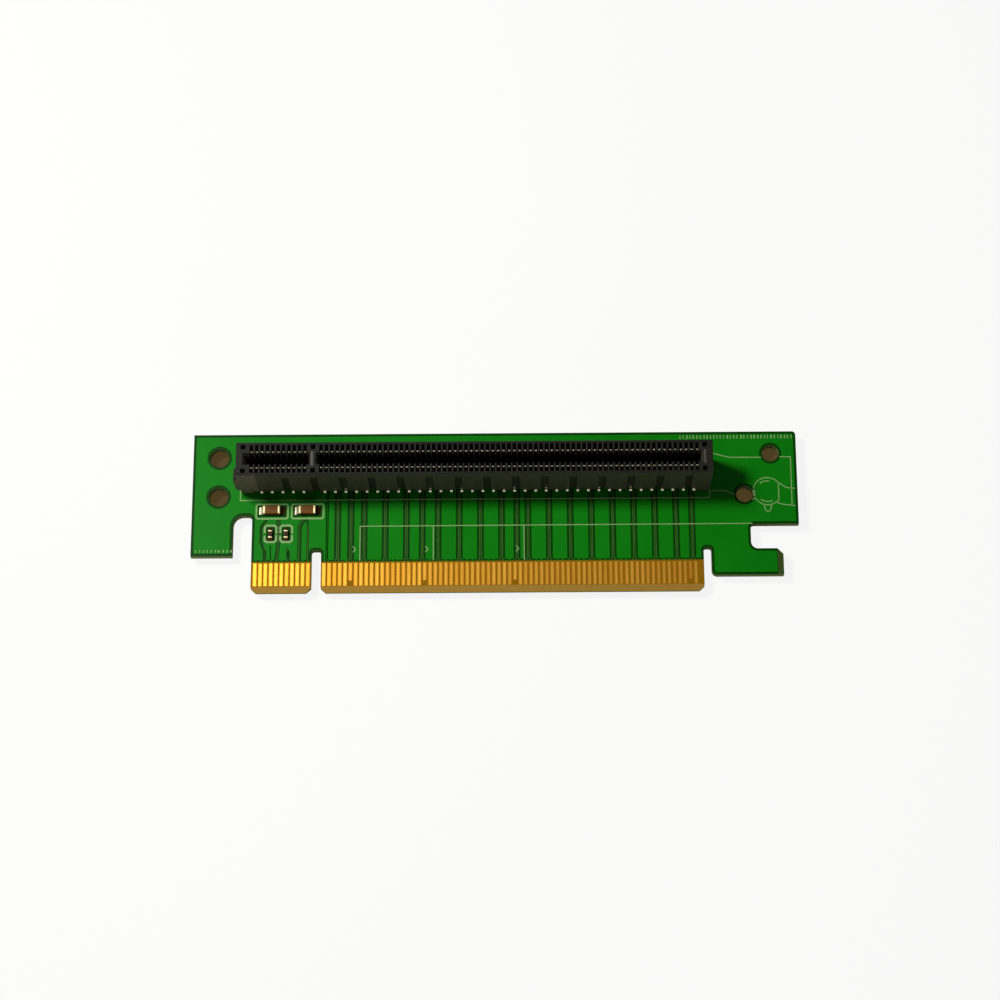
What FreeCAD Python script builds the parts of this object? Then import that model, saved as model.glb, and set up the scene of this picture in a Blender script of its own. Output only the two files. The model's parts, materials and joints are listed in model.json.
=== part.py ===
import FreeCAD, Part
import math
import os

# A PCI Express riser card: a flat printed board with gold contacts on its lower
# edge and one sixteen-lane slot standing on it. The card lies on its back, with
# its components up. While it is drawn, X runs along the card from the middle of
# the key, Y runs up the card from the edge that plugs in, and Z stands out of the
# component face. At the end every piece is moved so that the origin is at the
# bottom centre of the whole card. All sizes are in millimetres.

Vector = FreeCAD.Vector

# ---- contacts, shared by the edge and the slot ----
PITCH = 1.0                   # from one contact to the next
SHORT_SIDE_CONTACTS = 11      # contacts on the left of the key, on each face
LONG_SIDE_CONTACTS = 71       # contacts on the right of the key, on each face
KEY_TO_CONTACT = 1.5          # from the middle of the key to the contact beside it

# ---- board ----
BOARD_THICKNESS = 1.57
BOARD_HEIGHT = 31.25          # from the plugged edge to the top edge
TONGUE_LEFT_MARGIN = 0.75     # from the first contact's middle to the tongue's left edge
TONGUE_RIGHT_MARGIN = 1.55    # from the last contact's middle to the tongue's right edge
TONGUE_CHAMFER = 0.9          # bottom corners of the tongue, also beside the key
KEY_NOTCH_WIDTH = 1.85
KEY_NOTCH_DEPTH = 8.2
KEY_NOTCH_CORNER = 0.5
LEFT_NOTCH_WIDTH = 3.65       # between the tongue and the left leg
LEFT_NOTCH_TOP = 15.1
LEFT_NOTCH_OUTER_CORNER = 2.0
LEFT_NOTCH_INNER_CORNER = 0.8
LEG_WIDTH = 7.85
LEG_BOTTOM = 7.15
HOOK_GAP_WIDTH = 1.5          # between the tongue and the hook on the right
HOOK_GAP_TOP = 8.3
HOOK_BOTTOM = 2.95
HOOK_ARM_HEIGHT = 5.1
HOOK_ARM_LENGTH = 13.5
HOOK_ARM_CORNER = 1.0
HOOK_TIP_CHAMFER = 1.1
HOOK_MOUTH_HEIGHT = 4.8       # the open notch above the hook's arm
HOOK_MOUTH_DEPTH = 9.15       # from the board's right edge into the notch
HOOK_MOUTH_UPPER_CORNER = 0.7
HOOK_MOUTH_LOWER_CORNER = 1.3
EDGE_BEYOND_HOOK = 3.15       # how far the board's right edge stands past the arm's tip
BOARD_CORNER = 0.7
BEVEL_LENGTH = 1.25           # bevel on both faces of the plugged edge
BEVEL_DEPTH = 0.45

# ---- holes ----
LEFT_HOLE_RADIUS = 1.85
LEFT_HOLE_FROM_EDGE = 5.0     # from the board's left edge
LEFT_HOLE_BELOW_TOP = 4.68    # the upper one, from the board's top edge
LEFT_HOLE_SPACING = 7.74
RIGHT_HOLE_RADIUS = 1.6
UPPER_RIGHT_HOLE_FROM_EDGE = 4.95
UPPER_RIGHT_HOLE_BELOW_TOP = 4.38
LOWER_RIGHT_HOLE_FROM_EDGE = 10.07
LOWER_RIGHT_HOLE_Y = 18.77

# ---- gold edge contacts ----
PAD_WIDTH = 0.7
PAD_TOP = 5.65                # upper end of the pads
PAD_THICKNESS = 0.05
SHORT_PAD_SETBACK = 1.0       # a presence contact starts this much further in
SHORT_FRONT_PADS = (17, 31, 48, 81)
SHORT_REAR_PADS = (1,)

# ---- slot housing ----
SLOT_CENTRE_Y = 22.76
HOUSING_WIDTH = 6.4
HOUSING_HEIGHT = 11.25        # from the board to the top of the slot
HOUSING_LIFT = 1.0            # gap under the long walls, where the tails come out
SLOT_WIDTH = 1.75
SLOT_FLOOR = 2.4
FLOOR_RELIEF = 0.05           # the floor is a bar between the end walls, just clear of the ribs
SLOT_LEFT_MARGIN = 1.35       # from the first contact's middle to the slot's left end
SLOT_RIGHT_MARGIN = 0.85
LEFT_END_WALL = 1.5
RIGHT_END_WALL = 2.1
KEY_BRIDGE_WIDTH = 1.65
LEAD_IN = 0.5                 # chamfer at the slot's ends and on the key bridge
CAVITY_WIDTH = 0.65
LONG_WALL = 0.5               # wall behind the cavities
FLUTE_COUNT = 15              # shallow upright flutes along each long wall
FLUTE_WIDTH = 1.3
FLUTE_DEPTH = 0.25
FLUTE_FROM_TOP = 2.2
FLUTE_MARGIN = 8.95           # from the housing's left end to the first flute's middle
FLUTE_PITCH = 5.396
FOOT_CLEARANCE = 0.3          # between a foot and the nearest contact tail
KEY_FOOT_WIDTH = 2.1
PEG_RADIUS = 1.0
PEG_CLEARANCE = 0.1
PEG_BELOW_BOARD = 0.8
FAR_PEG_FROM_CONTACT = 1.65   # from the last contact's middle to the far peg
POCKET_SIZE = 0.9             # square blind pockets in the top, at both ends and at the key
POCKET_OFFSET = 2.3           # from the slot's centre plane to a pocket's middle
POCKET_DEPTH = 1.5
LEFT_POCKET_FROM_END = 1.3    # from the housing's left end to the pocket's middle
RIGHT_POCKET_FROM_END = 1.5
SHOULDER_REACH = 0.85         # how far the left end's shoulder stands out, sloped at 45 degrees
SHOULDER_WIDTH = 2.4          # from the front wall towards the slot
SHOULDER_LOW = 1.6            # where its lower slope starts
SHOULDER_HIGH = 8.6           # where its upper slope starts

# ---- slot contacts ----
CONTACT_WIDTH = 0.45
STRIP_THICKNESS = 0.2
OUTER_TAIL_OFFSET = 3.25      # from the slot's centre plane to the outer row of tails
INNER_TAIL_OFFSET = 1.25
TAIL_BEND_HEIGHT = 0.55       # an outer tail turns level here, under the long wall
ROOT_CLEARANCE = 0.05         # between a contact's root and the wall behind it
CONTACT_REACH = 0.1           # how far a contact stands into the slot
CONTACT_POINT_HEIGHT = 8.0
TIP_OFFSET = 1.5              # the tip's distance from the slot's centre plane
TIP_BELOW_TOP = 0.45

# ---- solder under the board ----
SOLDER_HEIGHT = 1.3
SOLDER_WIDTH = 1.0

# ---- two large capacitors and two small chips ----
CAPACITOR_LENGTH = 3.2
CAPACITOR_WIDTH = 1.6
CAPACITOR_HEIGHT = 1.1
CAPACITOR_CAP_LENGTH = 0.45
CAPACITOR_SOLDER_LENGTH = 0.9
CAPACITOR_Y = 16.0
LEFT_CAPACITOR_X = -8.5
CAPACITOR_SPACING = 6.74
CHIP_LENGTH = 1.6
CHIP_WIDTH = 0.8
CHIP_HEIGHT = 0.7
CHIP_CAP_LENGTH = 0.35
CHIP_SOLDER_LENGTH = 0.5
CHIP_Y = 11.3
LEFT_CHIP_X = -8.72
CHIP_SPACING = 2.98
SOLDER_CLIMB = 0.7            # solder climbs this share of an end cap's height

# ---- places worked out from the sizes above ----
first_contact_x = -KEY_TO_CONTACT - (SHORT_SIDE_CONTACTS - 1) * PITCH
last_contact_x = KEY_TO_CONTACT + (LONG_SIDE_CONTACTS - 1) * PITCH
tongue_left = first_contact_x - TONGUE_LEFT_MARGIN
tongue_right = last_contact_x + TONGUE_RIGHT_MARGIN
leg_right = tongue_left - LEFT_NOTCH_WIDTH
board_left = leg_right - LEG_WIDTH
hook_left = tongue_right + HOOK_GAP_WIDTH
hook_tip = hook_left + HOOK_ARM_LENGTH
board_right = hook_tip + EDGE_BEYOND_HOOK
arm_top = HOOK_BOTTOM + HOOK_ARM_HEIGHT
mouth_top = arm_top + HOOK_MOUTH_HEIGHT
mouth_left = board_right - HOOK_MOUTH_DEPTH

slot_half = SLOT_WIDTH / 2
slot_left = first_contact_x - SLOT_LEFT_MARGIN
slot_right = last_contact_x + SLOT_RIGHT_MARGIN
housing_left = slot_left - LEFT_END_WALL
housing_right = slot_right + RIGHT_END_WALL
housing_half = HOUSING_WIDTH / 2
cavity_back = housing_half - LONG_WALL
far_peg_x = last_contact_x + FAR_PEG_FROM_CONTACT


def contact_x(number):
    """Place of a contact along the card, numbered from 1 at the left end."""
    if number <= SHORT_SIDE_CONTACTS:
        return first_contact_x + (number - 1) * PITCH
    return KEY_TO_CONTACT + (number - SHORT_SIDE_CONTACTS - 1) * PITCH


contact_numbers = range(1, SHORT_SIDE_CONTACTS + LONG_SIDE_CONTACTS + 1)


# ---- shapes ----
def block(x_range, y_range, z_range):
    """A box from its low and high values along each axis."""
    size = [high - low for low, high in (x_range, y_range, z_range)]
    corner = Vector(x_range[0], y_range[0], z_range[0])
    return Part.makeBox(size[0], size[1], size[2], corner)


def prism(corners, direction):
    """A closed flat outline of straight edges, swept along a straight direction."""
    outline = Part.makePolygon(corners + corners[:1])
    return Part.Face(outline).extrude(direction)


def rounded_face(corners):
    """A flat face from corners (x, y, radius), where each radius rounds its corner."""
    edges = []
    count = len(corners)
    entries = []
    for index in range(count):
        x, y, radius = corners[index]
        here = Vector(x, y, 0)
        before = Vector(*corners[index - 1][:2], 0) - here
        after = Vector(*corners[(index + 1) % count][:2], 0) - here
        before.normalize()
        after.normalize()
        if radius == 0:
            entries.append((here, here, here))
            continue
        half_angle = before.getAngle(after) / 2
        reach = radius / math.tan(half_angle)
        bisector = before + after
        bisector.normalize()
        middle = here + bisector * (radius / math.sin(half_angle) - radius)
        entries.append((here + before * reach, middle, here + after * reach))
    for index in range(count):
        start, middle, end = entries[index]
        if start.distanceToPoint(end) > 0:
            edges.append(Part.Arc(start, middle, end).toShape())
        next_start = entries[(index + 1) % count][0]
        edges.append(Part.LineSegment(end, next_start).toShape())
    return Part.Face(Part.Wire(edges))


def pyramid(x, y, top, width, height):
    """A four-sided cone of solder that hangs from a flat face."""
    half = width / 2
    base = [Vector(x + i * half, y + j * half, top) for i, j in ((-1, -1), (1, -1), (1, 1), (-1, 1))]
    tip = Vector(x, y, top - height)
    faces = [Part.Face(Part.makePolygon(base + base[:1]))]
    for index in range(4):
        side = [base[index], base[(index + 1) % 4], tip]
        faces.append(Part.Face(Part.makePolygon(side + side[:1])))
    solid = Part.Solid(Part.Shell(faces))
    if solid.Volume < 0:
        solid.reverse()
    return solid


# ---- circuit board ----
def board_outline():
    """The board's outline, from the tongue's lower left corner round to its left notch."""
    key_half = KEY_NOTCH_WIDTH / 2
    return rounded_face([
        (tongue_left, TONGUE_CHAMFER, 0),
        (tongue_left + TONGUE_CHAMFER, 0, 0),
        (-key_half - TONGUE_CHAMFER, 0, 0),
        (-key_half, TONGUE_CHAMFER, 0),
        (-key_half, KEY_NOTCH_DEPTH, KEY_NOTCH_CORNER),
        (key_half, KEY_NOTCH_DEPTH, KEY_NOTCH_CORNER),
        (key_half, TONGUE_CHAMFER, 0),
        (key_half + TONGUE_CHAMFER, 0, 0),
        (tongue_right - TONGUE_CHAMFER, 0, 0),
        (tongue_right, TONGUE_CHAMFER, 0),
        (tongue_right, HOOK_GAP_TOP, KEY_NOTCH_CORNER),
        (hook_left, HOOK_GAP_TOP, KEY_NOTCH_CORNER),
        (hook_left, HOOK_BOTTOM, HOOK_ARM_CORNER),
        (hook_tip, HOOK_BOTTOM, 0),
        (hook_tip, arm_top - HOOK_TIP_CHAMFER, 0),
        (hook_tip - HOOK_TIP_CHAMFER, arm_top, 0),
        (mouth_left, arm_top, HOOK_MOUTH_LOWER_CORNER),
        (mouth_left, mouth_top, HOOK_MOUTH_UPPER_CORNER),
        (board_right, mouth_top, 0),
        (board_right, BOARD_HEIGHT, BOARD_CORNER),
        (board_left, BOARD_HEIGHT, 0),
        (board_left, LEG_BOTTOM, 0),
        (leg_right, LEG_BOTTOM, 0),
        (leg_right, LEFT_NOTCH_TOP, LEFT_NOTCH_OUTER_CORNER),
        (tongue_left, LEFT_NOTCH_TOP, LEFT_NOTCH_INNER_CORNER),
    ])


def bevel_cutter(face_z, inward):
    """The wedge cut from one face along the plugged edge; inward is +1 or -1 along Z."""
    reach = 1.0
    slope = BEVEL_DEPTH / BEVEL_LENGTH
    corners = [
        Vector(board_left, BEVEL_LENGTH, face_z),
        Vector(board_left, -reach, face_z + inward * slope * (BEVEL_LENGTH + reach)),
        Vector(board_left, -reach, face_z - inward * reach),
        Vector(board_left, BEVEL_LENGTH, face_z - inward * reach),
    ]
    return prism(corners, Vector(board_right - board_left, 0, 0))


def through_hole(x, y, radius):
    """A round cutter that passes through the whole board."""
    start = Vector(x, y, -2 * BOARD_THICKNESS)
    return Part.makeCylinder(radius, 3 * BOARD_THICKNESS, start)


def make_board():
    """The laminate with its outline, bevelled edge, fixing holes and peg holes."""
    board = board_outline().extrude(Vector(0, 0, -BOARD_THICKNESS))
    left_x = board_left + LEFT_HOLE_FROM_EDGE
    left_y = BOARD_HEIGHT - LEFT_HOLE_BELOW_TOP
    upper_right_y = BOARD_HEIGHT - UPPER_RIGHT_HOLE_BELOW_TOP
    cutters = [
        bevel_cutter(0, -1),
        bevel_cutter(-BOARD_THICKNESS, 1),
        through_hole(left_x, left_y, LEFT_HOLE_RADIUS),
        through_hole(left_x, left_y - LEFT_HOLE_SPACING, LEFT_HOLE_RADIUS),
        through_hole(board_right - UPPER_RIGHT_HOLE_FROM_EDGE, upper_right_y, RIGHT_HOLE_RADIUS),
        through_hole(board_right - LOWER_RIGHT_HOLE_FROM_EDGE, LOWER_RIGHT_HOLE_Y, RIGHT_HOLE_RADIUS),
        through_hole(0, SLOT_CENTRE_Y, PEG_RADIUS + PEG_CLEARANCE),
        through_hole(far_peg_x, SLOT_CENTRE_Y, PEG_RADIUS + PEG_CLEARANCE),
    ]
    return board.cut(Part.makeCompound(cutters))


# ---- gold edge contacts ----
def edge_pads(short_pads, low_z):
    """The row of gold pads on one face; short_pads are the numbers of the short ones."""
    half = PAD_WIDTH / 2
    pads = []
    for number in contact_numbers:
        start = BEVEL_LENGTH + (SHORT_PAD_SETBACK if number in short_pads else 0)
        x = contact_x(number)
        pads.append(block((x - half, x + half), (start, PAD_TOP), (low_z, low_z + PAD_THICKNESS)))
    return Part.makeCompound(pads)


# ---- slot housing ----
def comb_cutter(numbers, left, right):
    """The slot between two end walls, with a cavity on each side for each contact."""
    half = CAVITY_WIDTH / 2
    teeth = []
    for number in numbers:
        x = contact_x(number)
        teeth += [(x - half, slot_half), (x - half, cavity_back)]
        teeth += [(x + half, cavity_back), (x + half, slot_half)]
    near_side = [(left, slot_half)] + teeth + [(right, slot_half)]
    outline = [(x, -y) for x, y in near_side] + near_side[::-1]
    corners = [Vector(x, SLOT_CENTRE_Y + y, HOUSING_LIFT) for x, y in outline]
    return prism(corners, Vector(0, 0, HOUSING_HEIGHT - HOUSING_LIFT))


def lead_in_cutter(x, toward):
    """The chamfer at one end of the slot; toward is +1 where the wall lies to the right."""
    corners = [
        Vector(x, SLOT_CENTRE_Y - slot_half, HOUSING_HEIGHT),
        Vector(x + toward * LEAD_IN, SLOT_CENTRE_Y - slot_half, HOUSING_HEIGHT),
        Vector(x, SLOT_CENTRE_Y - slot_half, HOUSING_HEIGHT - LEAD_IN),
    ]
    return prism(corners, Vector(0, SLOT_WIDTH, 0))


def flute_cutters():
    """The shallow upright V flutes in both long walls, open at the walls' lower edge."""
    half = FLUTE_WIDTH / 2
    rise = Vector(0, 0, HOUSING_HEIGHT - FLUTE_FROM_TOP - HOUSING_LIFT)
    cutters = []
    for index in range(FLUTE_COUNT):
        x = housing_left + FLUTE_MARGIN + index * FLUTE_PITCH
        for side in (-1, 1):
            wall = SLOT_CENTRE_Y + side * housing_half
            corners = [
                Vector(x - half, wall, HOUSING_LIFT),
                Vector(x + half, wall, HOUSING_LIFT),
                Vector(x, wall - side * FLUTE_DEPTH, HOUSING_LIFT),
            ]
            cutters.append(prism(corners, rise))
    return cutters


def pocket_cutters():
    """The square blind pockets beside the slot's ends and its key bridge."""
    half = POCKET_SIZE / 2
    z_range = (HOUSING_HEIGHT - POCKET_DEPTH, HOUSING_HEIGHT)
    cutters = []
    for x in (housing_left + LEFT_POCKET_FROM_END, 0, housing_right - RIGHT_POCKET_FROM_END):
        for side in (-1, 1):
            y = SLOT_CENTRE_Y + side * POCKET_OFFSET
            cutters.append(block((x - half, x + half), (y - half, y + half), z_range))
    return cutters


def peg(x):
    """A hexagonal peg that locates the slot in a round hole of the board."""
    corners = []
    for index in range(6):
        angle = math.radians(60 * index)
        across = Vector(PEG_RADIUS * math.cos(angle), PEG_RADIUS * math.sin(angle), 0)
        corners.append(Vector(x, SLOT_CENTRE_Y, 0) + across)
    return prism(corners, Vector(0, 0, -BOARD_THICKNESS - PEG_BELOW_BOARD))


def left_shoulder():
    """The shoulder at the front of the housing's left end, with a slope above and below."""
    front = SLOT_CENTRE_Y - housing_half
    corners = [
        Vector(housing_left, front, SHOULDER_LOW),
        Vector(housing_left - SHOULDER_REACH, front, SHOULDER_LOW + SHOULDER_REACH),
        Vector(housing_left - SHOULDER_REACH, front, SHOULDER_HIGH - SHOULDER_REACH),
        Vector(housing_left, front, SHOULDER_HIGH),
    ]
    return prism(corners, Vector(0, SHOULDER_WIDTH, 0))


def make_housing():
    """The moulded slot: comb, floor, key bridge, feet and pegs in one piece."""
    y_range = (SLOT_CENTRE_Y - housing_half, SLOT_CENTRE_Y + housing_half)
    body = block((housing_left, housing_right), y_range, (HOUSING_LIFT, HOUSING_HEIGHT))
    bridge_half = KEY_BRIDGE_WIDTH / 2
    left_numbers = contact_numbers[:SHORT_SIDE_CONTACTS]
    right_numbers = contact_numbers[SHORT_SIDE_CONTACTS:]
    cutters = [
        comb_cutter(left_numbers, slot_left, -bridge_half),
        comb_cutter(right_numbers, bridge_half, slot_right),
    ]
    cutters += flute_cutters()
    body = body.cut(Part.makeCompound(cutters))
    lead_ins = [
        lead_in_cutter(slot_left, -1),
        lead_in_cutter(-bridge_half, 1),
        lead_in_cutter(bridge_half, -1),
        lead_in_cutter(slot_right, 1),
    ]
    body = body.cut(Part.makeCompound(lead_ins + pocket_cutters()))
    floor_half = slot_half - FLOOR_RELIEF
    floor_y = (SLOT_CENTRE_Y - floor_half, SLOT_CENTRE_Y + floor_half)
    floor = block((slot_left, slot_right), floor_y, (HOUSING_LIFT, SLOT_FLOOR))
    foot_reach = CONTACT_WIDTH / 2 + FOOT_CLEARANCE
    foot_z = (0, HOUSING_LIFT)
    left_foot = block((housing_left, first_contact_x - foot_reach), y_range, foot_z)
    right_foot = block((last_contact_x + foot_reach, housing_right), y_range, foot_z)
    key_foot = block((-KEY_FOOT_WIDTH / 2, KEY_FOOT_WIDTH / 2), y_range, foot_z)
    pegs = [peg(0), peg(far_peg_x)]
    housing = body.fuse([left_shoulder(), floor, left_foot, right_foot, key_foot] + pegs)
    return housing.removeSplitter()


# ---- slot contacts ----
def strip_outline(path, thickness):
    """Outline of a bent strip along a path of (y, z) points, from a level foot to a sharp tip."""
    points = [Vector(0, y, z) for y, z in path]
    left_side = []
    right_side = []
    for index in range(len(points) - 1):
        after = points[index + 1] - points[index]
        after.normalize()
        across = Vector(0, -1, 0)
        if index > 0:
            before = points[index] - points[index - 1]
            before.normalize()
            across = Vector(0, -before.z - after.z, before.y + after.y)
            across.normalize()
        square_to_strip = Vector(0, -after.z, after.y)
        half_cut = thickness / 2 / across.dot(square_to_strip)
        left_side.append(points[index] + across * half_cut)
        right_side.append(points[index] - across * half_cut)
    return left_side + [points[-1]] + right_side[::-1]


def contact_row(numbers, side, path):
    """One row of stamped contacts; side is +1 on the upper side of the slot and -1 below."""
    contacts = []
    for number in numbers:
        start = Vector(contact_x(number) - CONTACT_WIDTH / 2, SLOT_CENTRE_Y, 0)
        outline = strip_outline([(side * y, z) for y, z in path], STRIP_THICKNESS)
        contacts.append(prism([start + corner for corner in outline], Vector(CONTACT_WIDTH, 0, 0)))
    return Part.makeCompound(contacts)


def spring_path():
    """The part that every contact shares: root, contact point and tip."""
    point_offset = slot_half - CONTACT_REACH + STRIP_THICKNESS / 2
    return [
        (point_offset, CONTACT_POINT_HEIGHT),
        (TIP_OFFSET, HOUSING_HEIGHT - TIP_BELOW_TOP),
    ]


root_offset = cavity_back - ROOT_CLEARANCE - STRIP_THICKNESS
outer_path = [
    (OUTER_TAIL_OFFSET, 0),
    (OUTER_TAIL_OFFSET, TAIL_BEND_HEIGHT),
    (root_offset, TAIL_BEND_HEIGHT),
] + spring_path()
inner_path = [
    (INNER_TAIL_OFFSET, 0),
] + spring_path()


def solder_row(numbers, side, tail_offset):
    """The solder under one row of tails; the plated holes above are one with the board."""
    y = SLOT_CENTRE_Y + side * tail_offset
    places = [contact_x(number) for number in numbers]
    joints = [pyramid(x, y, -BOARD_THICKNESS, SOLDER_WIDTH, SOLDER_HEIGHT) for x in places]
    return Part.makeCompound(joints)


# ---- capacitors and chips ----
def chip_parts(length, width, height, cap_length, solder_length):
    """Body, end caps and solder of a two-ended chip that lies along X at the origin."""
    half_length = length / 2
    half_width = width / 2
    body_end = half_length - cap_length
    y_range = (-half_width, half_width)
    body = block((-body_end, body_end), y_range, (0, height))
    caps = []
    solder = []
    for end in (-1, 1):
        span = sorted((end * body_end, end * half_length))
        caps.append(block(span, y_range, (0, height)))
        wedge = [
            Vector(end * half_length, -half_width, 0),
            Vector(end * (half_length + solder_length), -half_width, 0),
            Vector(end * half_length, -half_width, height * SOLDER_CLIMB),
        ]
        solder.append(prism(wedge, Vector(0, width, 0)))
    return body, Part.makeCompound(caps), Part.makeCompound(solder)


def place(shape, x, y, turn):
    """A copy of a shape, turned about Z and moved to a place on the board."""
    copy = shape.copy()
    copy.rotate(Vector(0, 0, 0), Vector(0, 0, 1), turn)
    copy.translate(Vector(x, y, 0))
    return copy


# ---- all pieces ----
even = [number for number in contact_numbers if number % 2 == 0]
odd = [number for number in contact_numbers if number % 2 == 1]
nodes = {
    "circuit_board": make_board(),
    "front_edge_contacts": edge_pads(SHORT_FRONT_PADS, 0),
    "rear_edge_contacts": edge_pads(SHORT_REAR_PADS, -BOARD_THICKNESS - PAD_THICKNESS),
    "slot_housing": make_housing(),
    "lower_outer_slot_contacts": contact_row(even, -1, outer_path),
    "lower_inner_slot_contacts": contact_row(odd, -1, inner_path),
    "upper_outer_slot_contacts": contact_row(odd, 1, outer_path),
    "upper_inner_slot_contacts": contact_row(even, 1, inner_path),
    "lower_outer_solder_joints": solder_row(even, -1, OUTER_TAIL_OFFSET),
    "lower_inner_solder_joints": solder_row(odd, -1, INNER_TAIL_OFFSET),
    "upper_outer_solder_joints": solder_row(odd, 1, OUTER_TAIL_OFFSET),
    "upper_inner_solder_joints": solder_row(even, 1, INNER_TAIL_OFFSET),
}

capacitor = chip_parts(
    CAPACITOR_LENGTH, CAPACITOR_WIDTH, CAPACITOR_HEIGHT, CAPACITOR_CAP_LENGTH, CAPACITOR_SOLDER_LENGTH)
chip = chip_parts(CHIP_LENGTH, CHIP_WIDTH, CHIP_HEIGHT, CHIP_CAP_LENGTH, CHIP_SOLDER_LENGTH)
placed_parts = [
    ("left_capacitor", capacitor, LEFT_CAPACITOR_X, CAPACITOR_Y, 0),
    ("right_capacitor", capacitor, LEFT_CAPACITOR_X + CAPACITOR_SPACING, CAPACITOR_Y, 0),
    ("left_chip", chip, LEFT_CHIP_X, CHIP_Y, 90),
    ("right_chip", chip, LEFT_CHIP_X + CHIP_SPACING, CHIP_Y, 90),
]
for name, pieces, x, y, turn in placed_parts:
    for suffix, piece in zip(("body", "end_caps", "solder"), pieces):
        nodes[name + "_" + suffix] = place(piece, x, y, turn)

# ---- the origin goes to the bottom centre of the card ----
lowest = -BOARD_THICKNESS - max(SOLDER_HEIGHT, PEG_BELOW_BOARD)
origin = Vector((board_left + board_right) / 2, BOARD_HEIGHT / 2, lowest)
os.makedirs("parts", exist_ok=True)
for name, shape in nodes.items():
    shape.translate(-origin)
    shape.exportStep("parts/" + name + ".step")
print(len(nodes), "nodes")
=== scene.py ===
import json
import math

import bmesh
import bpy
import numpy as np
from mathutils import Matrix, Vector


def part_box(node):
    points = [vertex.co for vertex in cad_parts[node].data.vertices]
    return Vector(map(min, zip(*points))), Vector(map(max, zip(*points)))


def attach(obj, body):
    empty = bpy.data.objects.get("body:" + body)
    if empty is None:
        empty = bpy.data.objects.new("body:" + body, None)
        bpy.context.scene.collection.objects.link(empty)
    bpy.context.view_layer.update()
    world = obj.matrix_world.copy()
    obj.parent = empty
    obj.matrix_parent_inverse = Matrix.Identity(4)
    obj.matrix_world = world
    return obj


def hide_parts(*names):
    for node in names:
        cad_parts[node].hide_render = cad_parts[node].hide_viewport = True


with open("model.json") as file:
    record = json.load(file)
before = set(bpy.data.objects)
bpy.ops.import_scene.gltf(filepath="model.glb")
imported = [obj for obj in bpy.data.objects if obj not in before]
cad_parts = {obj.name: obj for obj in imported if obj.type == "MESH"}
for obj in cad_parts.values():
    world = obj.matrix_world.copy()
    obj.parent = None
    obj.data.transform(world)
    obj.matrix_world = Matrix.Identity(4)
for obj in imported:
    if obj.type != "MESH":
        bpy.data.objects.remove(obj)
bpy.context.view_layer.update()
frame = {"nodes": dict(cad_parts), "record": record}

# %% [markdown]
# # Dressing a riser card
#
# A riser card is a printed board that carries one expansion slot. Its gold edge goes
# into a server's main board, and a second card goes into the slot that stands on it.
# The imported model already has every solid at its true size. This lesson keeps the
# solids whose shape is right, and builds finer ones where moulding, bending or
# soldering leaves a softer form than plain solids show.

print("packed nodes:", len(frame["nodes"]))

# %% [markdown]
# ## One datum for every measurement
#
# A board maker measures from the key of the gold edge, so this lesson does too. The
# middle of the key is X = 0, the plugged edge is Y = 0, and the component face is
# Z = 0, all in millimetres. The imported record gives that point, so nothing has to be
# lined up by eye. Another way would be to work in metres from the card's own origin,
# but then every number would be a long decimal.

# %% Millimetres from the key
MM = 0.001
places = {mount["name"]: mount["pos_m"] for mount in frame["record"]["mounts"]}
component_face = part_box("circuit_board")[1][2]
datum = np.array([*places["edge_tongue"][:2], component_face])


def to_frame(points):
    """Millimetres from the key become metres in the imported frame: datum + 0.001 * point."""
    return datum + MM * np.asarray(points, float)


def box_mm(node):
    """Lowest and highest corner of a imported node, in millimetres from the key."""
    low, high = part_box(node)
    return (np.array(low) - datum) / MM, (np.array(high) - datum) / MM


board_low, board_high = box_mm("circuit_board")
housing_low, housing_high = box_mm("slot_housing")
SLOT_Y = (places["card_slot"][1] - datum[1]) / MM
BOARD_THICKNESS = -board_low[2]
PITCH = 1.0
contacts_x = np.concatenate([np.arange(-11.5, -1.0, PITCH), np.arange(1.5, 72.0, PITCH)])
numbers = np.arange(1, len(contacts_x) + 1)
print("board:", np.round(board_low, 2), np.round(board_high, 2), "contacts a side:", len(numbers))

# %% [markdown]
# ## Surfaces as grids
#
# Nearly every piece here is a grid of points: one direction follows a path, and the
# other goes round a section. Modelling each by hand would take hours for the 164
# contacts. With numpy, the points of all copies are worked out at once, and one
# function numbers the quads. Where rows or columns run together, merging the doubles
# closes the surface, and the faces are then turned outwards.

# %% Quads of a grid, copies of a shape, and the finished mesh
SAME_POINT = 1e-6


def grid_quads(rows, columns):
    """Quads between neighbours on a grid numbered row by row, whose columns close in a ring."""
    row, column = np.meshgrid(np.arange(rows - 1), np.arange(columns), indexing="ij")
    after = (column + 1) % columns
    corners = [row * columns + column, (row + 1) * columns + column,
               (row + 1) * columns + after, row * columns + after]
    return np.stack(corners, -1).reshape(-1, 4)


def closed_tube(sections):
    """A closed surface from rings of points (rows, ring, 3): both ends shrink to their middle."""
    first = np.broadcast_to(sections[0].mean(0), sections[0].shape)
    last = np.broadcast_to(sections[-1].mean(0), sections[-1].shape)
    rows = np.concatenate([first[None], sections, last[None]])
    return rows.reshape(-1, 3), grid_quads(len(rows), rows.shape[1])


def copies(shape, offsets):
    """One shape at many places: every point plus every offset, with the quads renumbered."""
    points, quads = shape
    offsets = np.asarray(offsets, float)
    moved = points[None] + offsets[:, None]
    steps = np.arange(len(offsets))[:, None, None] * len(points)
    return moved.reshape(-1, 3), (quads[None] + steps).reshape(-1, 4)


def joined(shapes):
    """Several shapes as one list of points and quads."""
    starts = np.cumsum([0] + [len(points) for points, quads in shapes[:-1]])
    points = np.concatenate([points for points, quads in shapes])
    quads = np.concatenate([quads + start for (_, quads), start in zip(shapes, starts)])
    return points, quads


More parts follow.
